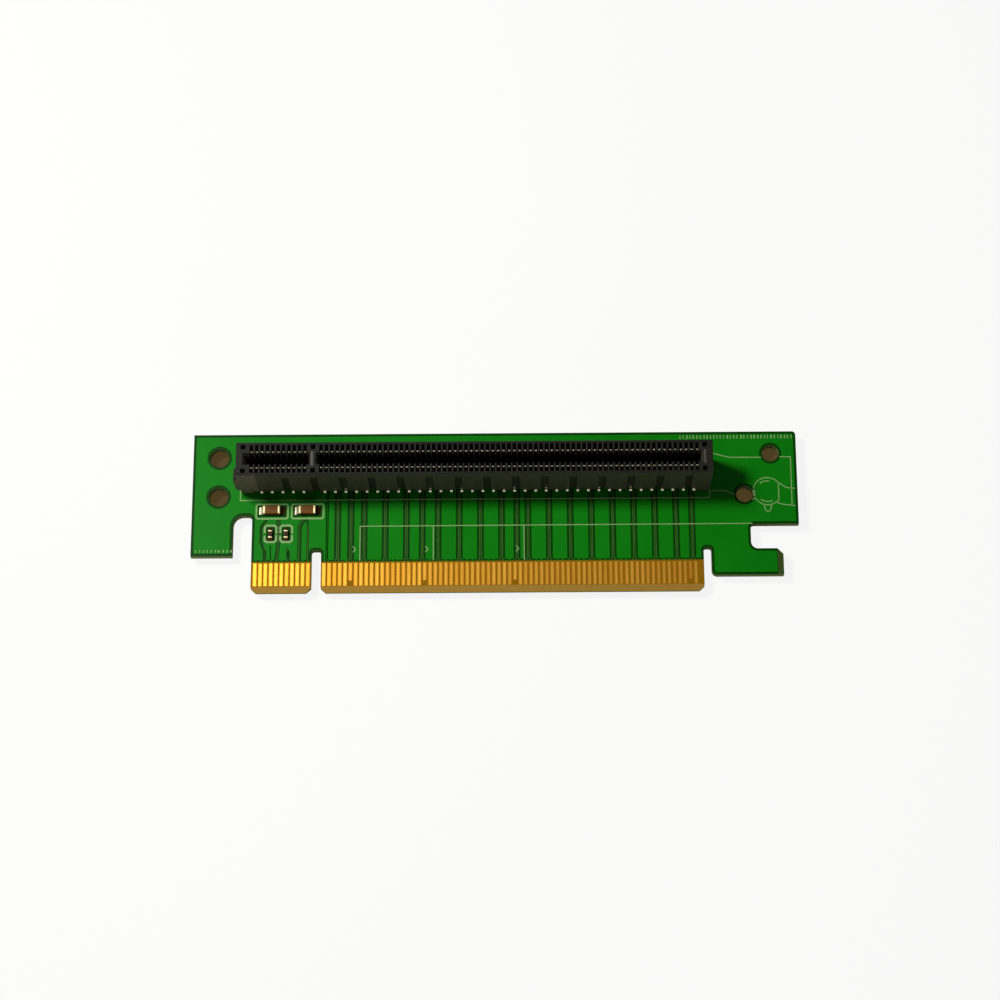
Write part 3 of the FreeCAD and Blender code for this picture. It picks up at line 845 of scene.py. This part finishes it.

# %% [markdown]
# ## Gold edge contacts
# The contacts are copper with hard gold over nickel. Every insertion wipes them along
# Y, which leaves fine bright scratches, and each contact takes the plating a little
# differently, so neighbours differ in tone. The two sides of each contact are painted
# darker, as painted shade where the plating rounds off, which leaves a bright middle.
# The imported contacts keep their shape, and the scratches are noise stretched along Y.

# %% Gold
FLANK_FROM, FLANK_FADE = 0.2, 7.0
gold, nodes = material("edge_gold")
by_contact = nodes.noise(nodes.place((0.8, 0.03, 0.0)), 1.0, 0.0)
wipe = nodes.noise(nodes.place((14.0, 0.5, 0.0)), 1.0, 2.0)
tone = nodes.blend(by_contact, paint(196, 134, 34), paint(226, 174, 66))
from_gap = nodes.from_key(0).math("PINGPONG", PITCH / 2)
# Painted shade: each contact's colour darkens towards its two sides, where its rounded edges turn
# from the light.
painted_side_shade = 1.0 - ((from_gap - FLANK_FROM) * FLANK_FADE).clamped()
tone = nodes.blend(painted_side_shade * 0.6, tone, paint(150, 92, 14))
nodes.surface(
    Base_Color=nodes.blend(wipe * 0.35, tone, paint(176, 112, 30)),
    Metallic=1.0,
    Roughness=0.24 + wipe * 0.22,
    Normal=nodes.bump(wipe, 0.01, 0.4))
for name in ("front_edge_contacts", "rear_edge_contacts"):
    pads = frame["nodes"][name]
    pads.data.materials.clear()
    pads.data.materials.append(gold)
print("gold on", len(contacts_x), "contacts a face")

# %% [markdown]
# ## The slot's moulding
#
# The housing is one moulding of black glass-filled plastic: two long walls with a
# cavity for every contact, a floor, a key bridge, two ends and shallow upright flutes.
# It could be cut from a block with 164 Boolean steps. A section carried along X is far
# lighter: each point of the section is a function of X, and the sections are worked
# out just left and just right of every place where something starts or stops. The
# step between the two is then a clean flat wall. The colour carries painted light:
# painted shade beside the key bridge and in the flutes, painted highlights on the lips
# of the bridge and the right end, and the upright faces painted paler, as lit, palest
# on the left end block.

# %% Black plastic
HALF_WIDTH = float(housing_high[1] - housing_low[1]) / 2
LEFT_BLOCK_END = -10.9
BRIDGE_LIP, END_LIP = -0.2, 72.95
MOUTH_HALF = 1.35
plastic, nodes = material("black_plastic")
grain = nodes.noise(nodes.place(), 9.0, 3.0, 0.6)
dust = nodes.noise(nodes.place(), 0.9, 3.0, 0.6)
x, y = nodes.from_key(0), abs(nodes.from_key(1) - float(SLOT_Y))
shade = nodes.blend(grain, paint(22, 23, 16), paint(30, 31, 22))
# Painted light: upright faces get a paler colour than the tops, as if lit, and the left end block
# paler still.
upright_painted_light = nodes.blend(grain, paint(52, 52, 38), paint(66, 66, 50))
upright_painted_light = nodes.blend((x < LEFT_BLOCK_END) * 0.8, upright_painted_light, paint(98, 92, 74))
shade = nodes.blend(nodes.facing(2) < 0.5, shade, upright_painted_light)
between_walls = y < MOUTH_HALF
# Painted highlight along the rounded lips of the key bridge and the right end of the slot.
lip_painted_highlight = ((0.34 - abs(x - BRIDGE_LIP)) * 2.5).clamped() + ((0.3 - abs(x - END_LIP)) * 2.0).clamped()
shade = nodes.blend(lip_painted_highlight * between_walls, shade, paint(112, 108, 98))
# Painted shade in the valleys either side of the key bridge.
valley_painted_shade = (abs(x) > 0.45) * (abs(x) < 1.0) * between_walls
shade = nodes.blend(valley_painted_shade * 0.7, shade, paint(6, 6, 2))
# Painted shade in a band just inside the outer faces, which takes in the recessed flutes.
flute_painted_shade = (y > HALF_WIDTH - 0.6) * (y < HALF_WIDTH - 0.12)
shade = nodes.blend(flute_painted_shade * 0.7, shade, paint(14, 14, 8))
nodes.surface(
    Base_Color=nodes.blend(((dust - 0.5) * 1.2).clamped(), shade, paint(58, 56, 44)),
    Roughness=0.50 + grain * 0.14,
    Specular_IOR_Level=0.12,
    Normal=nodes.bump(grain, 0.03, 0.6))
print("housing half width:", HALF_WIDTH)

# %% Where the section changes
TOP = housing_high[2]
SLOT_HALF = 0.875
CAVITY_HALF = 0.325
CAVITY_BACK = HALF_WIDTH - 0.5
CAVITY_FLOOR = 1.5
SLOT_FLOOR = 2.4
LIFT = 1.0
EDGE = 0.1
LEAD = 0.5
LEAD_HALF = 1.18
BRIDGE_HALF = 0.825
KEY_FOOT_HALF = 1.05
FOOT_REACH = 0.525
LEFT_SPARE, RIGHT_SPARE = 1.35, 0.85
slot_left, slot_right = contacts_x[0] - LEFT_SPARE, contacts_x[-1] + RIGHT_SPARE
FLUTE_TOP, FLUTE_DEPTH, FLUTE_HALF = TOP - 2.2, 0.42, 0.68
POCKET_HALF, POCKET_Y, POCKET_DEPTH = 0.45, 2.3, 1.5
SHOULDER_REACH, SHOULDER_WIDTH, SHOULDER_LOW, SHOULDER_HIGH = 0.85, 2.4, 1.6, 8.6
housing_left, housing_right = housing_low[0] + SHOULDER_REACH, housing_high[0]
LEAD_STEPS = np.array([0.0, 0.3, 0.55, 0.75, 0.9, 1.0])
FLUTE_MARGIN, FLUTE_PITCH, FLUTE_COUNT = 8.95, 5.396, 15
flutes_x = housing_left + FLUTE_MARGIN + FLUTE_PITCH * np.arange(FLUTE_COUNT)
slot_ends = np.array([slot_left, -BRIDGE_HALF, BRIDGE_HALF, slot_right])
lead_lines = (slot_ends[:, None] + LEAD * np.array([-1, 1, -1, 1])[:, None] * LEAD_STEPS).ravel()
pockets_x = np.array([housing_left + 1.3, 0.0, housing_right - 1.5])
pocket_sides = (pockets_x[:, None] + [-POCKET_HALF, POCKET_HALF]).ravel()
foot_ends = np.array([
    contacts_x[0] - FOOT_REACH, -KEY_FOOT_HALF, KEY_FOOT_HALF, contacts_x[-1] + FOOT_REACH])
end_edges = np.array([housing_left, housing_left + EDGE, housing_right - EDGE, housing_right])
cavity_sides = (contacts_x[:, None] + [-CAVITY_HALF, CAVITY_HALF]).ravel()
flute_steps = (flutes_x[:, None] + FLUTE_HALF * np.array([-1, -0.9, -0.75, 0.75, 0.9, 1])).ravel()
breaks = np.unique(np.round(np.concatenate(
    [lead_lines, pocket_sides, foot_ends, end_edges, cavity_sides, flute_steps]), 5))
ASIDE = 1e-4
stations = np.repeat(breaks, 2)
beside = stations + np.tile([-ASIDE, ASIDE], len(breaks))
print("sections along the slot:", len(stations))

# %% Half a section at every station
in_cavity = abs(beside[:, None] - contacts_x[None]).min(1) < CAVITY_HALF
in_slot = (beside > slot_left) & (beside < slot_right) & (abs(beside) > BRIDGE_HALF)
has_foot = (beside < foot_ends[0]) | (beside > foot_ends[3]) | (abs(beside) < KEY_FOOT_HALF)
bottom = np.where(has_foot, 0.0, LIFT)
from_end = np.minimum(stations - housing_left, housing_right - stations)
worn = EDGE * (1 - np.clip(from_end / EDGE, 0, 1))
in_pocket = abs(beside[:, None] - pockets_x[None]).min(1) < POCKET_HALF
to_lead = np.clip(abs(stations[:, None] - slot_ends[None]).min(1), 0, LEAD) / LEAD
lead_drop = LEAD * (1 - np.sqrt(1 - (1 - to_lead) ** 2))
flute_at = abs(stations[:, None] - flutes_x[None]).min(1)
flute = FLUTE_DEPTH * np.interp(flute_at / FLUTE_HALF, [0.75, 0.9, 1.0], [1.0, 0.8, 0.0])
wall = HALF_WIDTH - worn
top = TOP - worn
pocket_floor = np.where(in_pocket, TOP - POCKET_DEPTH, top)
pocket_far = POCKET_Y + POCKET_HALF
pocket_near = POCKET_Y - POCKET_HALF
MITRE = 0.02
HAIR = 0.005
RIB_FOOT, BELLY_FOOT = 0.85, 0.82
foot_edge = np.where(has_foot, EDGE, EDGE * 0.3)
foot_inset = np.where(has_foot, 0, EDGE * 0.3)
outer_wall = wall - flute
bridge_top = top - lead_drop


def by_kind(rib, cavity, solid):
    """One coordinate for the three kinds of section: rib, cavity or solid."""
    return np.where(~in_slot, solid, np.where(in_cavity, cavity, rib))


def behind(hairs):
    """A place just behind the cavities, a few hairs from the next point."""
    return CAVITY_BACK + HAIR * hairs


slot_floor = by_kind(SLOT_FLOOR, SLOT_FLOOR, bridge_top)
cavity_floor = by_kind(SLOT_FLOOR, CAVITY_FLOOR, bridge_top)
corners = [
    (0.0, bottom + worn),
    (outer_wall - EDGE, bottom + worn),
    (outer_wall - foot_inset, bottom + worn + foot_edge),
    (outer_wall, LIFT + EDGE),
    (outer_wall, FLUTE_TOP),
    (wall, FLUTE_TOP + 0.3),
    (wall, top - EDGE),
    (wall - EDGE, top),
    (behind(12), top),
    (by_kind(pocket_far, behind(10), pocket_far), top),
    (by_kind(pocket_far - MITRE, behind(9), pocket_far - MITRE), pocket_floor),
    (by_kind(pocket_near + MITRE, behind(8), pocket_near + MITRE), pocket_floor),
    (by_kind(pocket_near, behind(7), pocket_near), top),
    (by_kind(LEAD_HALF, behind(6), LEAD_HALF), by_kind(TOP, TOP - 0.08, top)),
    (by_kind(SLOT_HALF, CAVITY_BACK, SLOT_HALF), by_kind(TOP - LEAD, TOP - 0.3, bridge_top)),
    (by_kind(SLOT_HALF, CAVITY_BACK, 0.6), cavity_floor),
    (by_kind(RIB_FOOT, BELLY_FOOT, 0.5), cavity_floor),
    (by_kind(BELLY_FOOT, BELLY_FOOT, 0.4), slot_floor),
    (0.0, slot_floor),
]
zero = 0 * stations
half = np.stack([np.stack([zero + across, zero + up], 1) for across, up in corners], 1)
far_half = half[:, ::-1] * (-1, 1)
ring_points = np.concatenate([half, far_half], 1)
along = np.broadcast_to(stations[:, None], ring_points.shape[:2])
sections = np.stack([along, SLOT_Y + ring_points[..., 0], ring_points[..., 1]], -1)
print("points in a section:", sections.shape[1])

# %% Housing and its two pegs


def turned(profile, x, y, count):
    """A turned shape: each (radius, height) of a profile carried round an upright axis."""
    radius, height = np.asarray(profile, float).T
    angle = np.linspace(0, 2 * np.pi, count, endpoint=False)
    rings = np.stack([
        x + radius[:, None] * np.cos(angle), y + radius[:, None] * np.sin(angle),
        np.broadcast_to(height[:, None], (len(height), count))], -1)
    return closed_tube(rings)


peg_tip = housing_low[2]
peg_profile = [(0.75, peg_tip), (0.95, peg_tip + 0.3), (0.95, 0.2)]
FAR_PEG = contacts_x[-1] + 1.65
pegs = [turned(peg_profile, x, SLOT_Y, 24) for x in (0.0, FAR_PEG)]
SOFT, OVERLAP = 0.12, 0.05
out = housing_left - SHOULDER_REACH + 0.01
face_low, face_high = SHOULDER_LOW + SHOULDER_REACH, SHOULDER_HIGH - SHOULDER_REACH
inside = housing_left + OVERLAP
profile = [(inside, SHOULDER_LOW), (out + SOFT, face_low - SOFT), (out, face_low + 0.1),
           (out, face_high - 0.1), (out + SOFT, face_high + SOFT), (inside, SHOULDER_HIGH)]
shoulder_y = np.array([0.02, SHOULDER_WIDTH]) + SLOT_Y - HALF_WIDTH
shoulder = closed_tube(np.array([[(x, y, z) for x, z in profile] for y in shoulder_y]))
moulding = joined([closed_tube(sections[1:-1]), shoulder] + pegs)
piece("slot_moulding", moulding, plastic, ("slot_housing",), smooth_degrees=25)

# %% [markdown]
# ## Sprung contacts
#
# Each contact is stamped from bronze strip, plated, and bent so that its belly stands
# into the slot. Its tip leans back into the cavity. Its tail stops on the board's face
# here, and the solder on the rear stands for the end that comes through. A bend in
# strip has a radius, which corner cutting gives: each corner of the bend line is
# replaced by two points a quarter of the way along its runs. The strip narrows towards
# the tip. Deep in the cavities the metal is painted nearly black as painted shade, and
# only the tips and tails shine.

# %% Contact metal
DARK_FROM, DARK_TO = 1.2, 10.0
bronze, nodes = material("plated_bronze")
smear = nodes.noise(nodes.place((3.0, 3.0, 0.6)), 1.0, 2.0)
# Painted shade: the metal between these heights, deep in the slot, is painted nearly black.
deep_painted_shade = (nodes.from_key(2) > DARK_FROM) * (nodes.from_key(2) < DARK_TO)
metal = nodes.blend(smear, paint(196, 190, 164), paint(226, 220, 196))
nodes.surface(
    Base_Color=nodes.blend(deep_painted_shade, metal, paint(46, 44, 36)),
    Metallic=1.0,
    Roughness=0.20 + smear * 0.2,
    Normal=nodes.bump(smear, 0.01, 0.3))
print("dull from", DARK_FROM, "to", DARK_TO)

# %% Contact rows
THICK = 0.2


def cut_corners(path):
    """A softer path: the ends stay, and each run keeps the points at 1/4 and 3/4 of it."""
    path = np.asarray(path, float)
    early = 0.75 * path[:-1] + 0.25 * path[1:]
    late = 0.25 * path[:-1] + 0.75 * path[1:]
    middle = np.stack([early, late], 1).reshape(-1, 2)
    return np.concatenate([path[:1], middle[1:-1], path[-1:]])


def sprung_contact(path, side):
    """A bent strip at X = 0: the bend line gets half a thickness each way and a width."""
    bend = cut_corners(path)
    near, far = both_sides(bend, THICK)
    narrow = np.interp(bend[:, 1], [0, 8.0, 10.8], [0.225, 0.225, 0.17])
    rings = np.stack([
        np.column_stack([sign * narrow, SLOT_Y + side * line[:, 0], line[:, 1]])
        for sign, line in ((-1, near), (-1, far), (1, far), (1, near))], 1)
    return closed_tube(rings)


OUTER_TAIL, INNER_TAIL, BEND = 3.25, 1.25, 0.56
spring = [(0.875, 8.0), (1.45, 10.5), (1.62, 10.72)]
outer_path = [(OUTER_TAIL, 0.0), (OUTER_TAIL, BEND), (2.45, BEND)] + spring
inner_path = [(INNER_TAIL, 0.0), (1.1, 3.2)] + spring
even_x, odd_x = contacts_x[numbers % 2 == 0], contacts_x[numbers % 2 == 1]
contact_rows = [
    ("lower_outer", even_x, -1, outer_path), ("lower_inner", odd_x, -1, inner_path),
    ("upper_outer", odd_x, 1, outer_path), ("upper_inner", even_x, 1, inner_path)]
for name, row_x, side, path in contact_rows:
    row = row_of(sprung_contact(path, side), row_x)
    piece(name + "_springs", row, bronze, (name + "_slot_contacts",))

# %% [markdown]
# ## Solder
#
# Wave solder leaves a small bright cone round each tail, hollow on its flank, with the
# cut end of the tail at its tip. A turned profile with a few rings gives it, and there
# are 164 of them, so each has few faces.

# %% Solder
tin = cloudy("bright_solder", (4.0, 2.0), (104, 104, 96), (136, 136, 126), (0.40, 0.2),
             (0.03, 0.4), Metallic=1.0)
SOLDER_TIP = box_mm("lower_outer_solder_joints")[0][2]
base = -BOARD_THICKNESS
cone = [(0.52, base), (0.5, base - 0.05), (0.36, base - 0.28), (0.26, base - 0.7),
        (0.2, SOLDER_TIP + 0.08), (0.12, SOLDER_TIP)]
for name, row_x, side, path in contact_rows:
    joint = turned(cone, 0.0, SLOT_Y + side * path[0][0], 8)
    piece(name + "_cones", row_of(joint, row_x), tin, (name + "_solder_joints",), 60)

# %% [markdown]
# ## Capacitors and chips
#
# Two larger ceramic capacitors and two small chips stand beside the key. Each is a
# fired block with metal dipped over both ends, and solder climbs the ends in a hollow
# fillet. A rounded block is a small ball whose points are pushed out to the block's
# corners: the point is the inner box's corner plus the radius times the direction.

# %% Ceramic, end caps and solder with painted light and shade
ceramic = {"rough": (0.42, 0.2), "bumpy": (0.02, 0.4), "Specular_IOR_Level": 0.12}
brown = cloudy("brown_ceramic", (5.0, 3.0, 0.6), (84, 50, 8), (126, 82, 22), **ceramic)
dark = cloudy("dark_ceramic", (5.0, 3.0, 0.6), (40, 24, 14), (70, 44, 26), **ceramic)
cap_tin = cloudy("dipped_tin", (2.5, 3.0), (170, 150, 104), (206, 190, 146), (0.30, 0.25),
                 (0.02, 0.4), Metallic=1.0)
solder_lit_and_shaded, nodes = material("solder_painted_light")
stain = nodes.noise(nodes.place(), 2.0, 3.0)
# Painted light and shade: fillet faces turned towards -X, the lamp's side, are painted bright, the
# rest dark brown, with a little noise in it.
painted_lit_side = (nodes.facing(0) < -0.25) * (1.0 - stain * 0.3)
nodes.surface(
    Base_Color=nodes.blend(painted_lit_side, paint(62, 40, 14), paint(240, 234, 200)),
    Metallic=0.9,
    Roughness=0.38 + stain * 0.2,
    Normal=nodes.bump(stain, 0.03, 0.4))
print(brown.name, dark.name, cap_tin.name, solder_lit_and_shaded.name)

# %% Rounded blocks and fillets
EQUATOR_GAP = 1e-3


def rounded_block(low, high, radius, around=16, up=9):
    """A block with round edges: inner box corner by sign, plus radius times the direction."""
    low, high = np.asarray(low, float), np.asarray(high, float)
    turn_angle = (np.arange(around) + 0.5) * 2 * np.pi / around
    rise = np.linspace(-np.pi / 2, np.pi / 2, up + 1)
    rise = np.sort(np.concatenate([rise, [-EQUATOR_GAP, EQUATOR_GAP]]))[:, None]
    cosine, sine = np.cos(turn_angle), np.sin(turn_angle)
    direction = np.stack(np.broadcast_arrays(
        np.cos(rise) * cosine, np.cos(rise) * sine, np.sin(rise)), -1)
    reach = (high - low) / 2 - radius
    sign = np.sign(np.stack(np.broadcast_arrays(cosine, sine, np.sin(rise)), -1))
    return closed_tube((low + high) / 2 + sign * reach + radius * direction)


def fillet(x_from, x_to, y_low, y_high, height):
    """Solder that climbs an end cap: height falls off as the square of the distance."""
    share = np.linspace(0, 1, 6)
    x = x_from + (x_to - x_from) * share
    z = height * (1 - share) ** 2 + 0.02
    inset = 0.12 * share
    rings = np.stack([
        np.stack([x, y_low + inset, 0 * x], 1), np.stack([x, y_low + inset, z], 1),
        np.stack([x, y_high - inset, z], 1), np.stack([x, y_high - inset, 0 * x], 1)], 1)
    return closed_tube(rings)


def along_y(shape):
    """A shape turned a quarter: X goes to Y and Y to minus X."""
    points, quads = shape
    return points[:, [1, 0, 2]] * (-1, 1, 1), quads


# %% Two capacitors and two chips
for names, ceramic_finish, ceramic_slot, lies_along_x in (
        (("left_capacitor", "right_capacitor"), brown, "capacitor_ceramic", True),
        (("left_chip", "right_chip"), dark, "chip_ceramic", False)):
    bodies, caps, fillets = [], [], []
    for name in names:
        body_low, body_high = box_mm(name + "_body")
        caps_low, caps_high = box_mm(name + "_end_caps")
        solder_low, solder_high = box_mm(name + "_solder")
        centre = (caps_low + caps_high) / 2 * (1, 1, 0)
        axis, across = (0, 1) if lies_along_x else (1, 0)
        length, width = (caps_high - caps_low)[[axis, across]]
        body_length = (body_high - body_low)[axis]
        solder_reach = (solder_high - solder_low)[axis]
        height = caps_high[2]
        block = rounded_block((-length / 2 + 0.05, -width / 2 + 0.02, 0.0),
                              (length / 2 - 0.05, width / 2 - 0.02, height - 0.03), 0.08)
        middle, thick = (length + body_length) / 4, (length - body_length) / 4
        ends, slopes = [], []
        for sign in (-1, 1):
            ends.append(rounded_block((sign * middle - thick, -width / 2, 0.0),
                                      (sign * middle + thick, width / 2, height), 0.1))
            slopes.append(fillet(sign * (length / 2 - 0.03), sign * solder_reach / 2,
                                 -width / 2, width / 2, height * 0.62))
        for group, shapes in ((bodies, [block]), (caps, ends), (fillets, slopes)):
            for shape in shapes:
                shape = shape if lies_along_x else along_y(shape)
                group.append((shape[0] + centre, shape[1]))
    kind = names[0].split("_")[1]
    for made, shapes, finish, slot, node in (
            ("_blocks", bodies, ceramic_finish, ceramic_slot, "_body"),
            ("_ends", caps, cap_tin, "end_cap_tin", "_end_caps"),
            ("_fillets", fillets, solder_lit_and_shaded, "solder", "_solder")):
        piece(kind + made, joined(shapes), finish, tuple(name + node for name in names), 50)
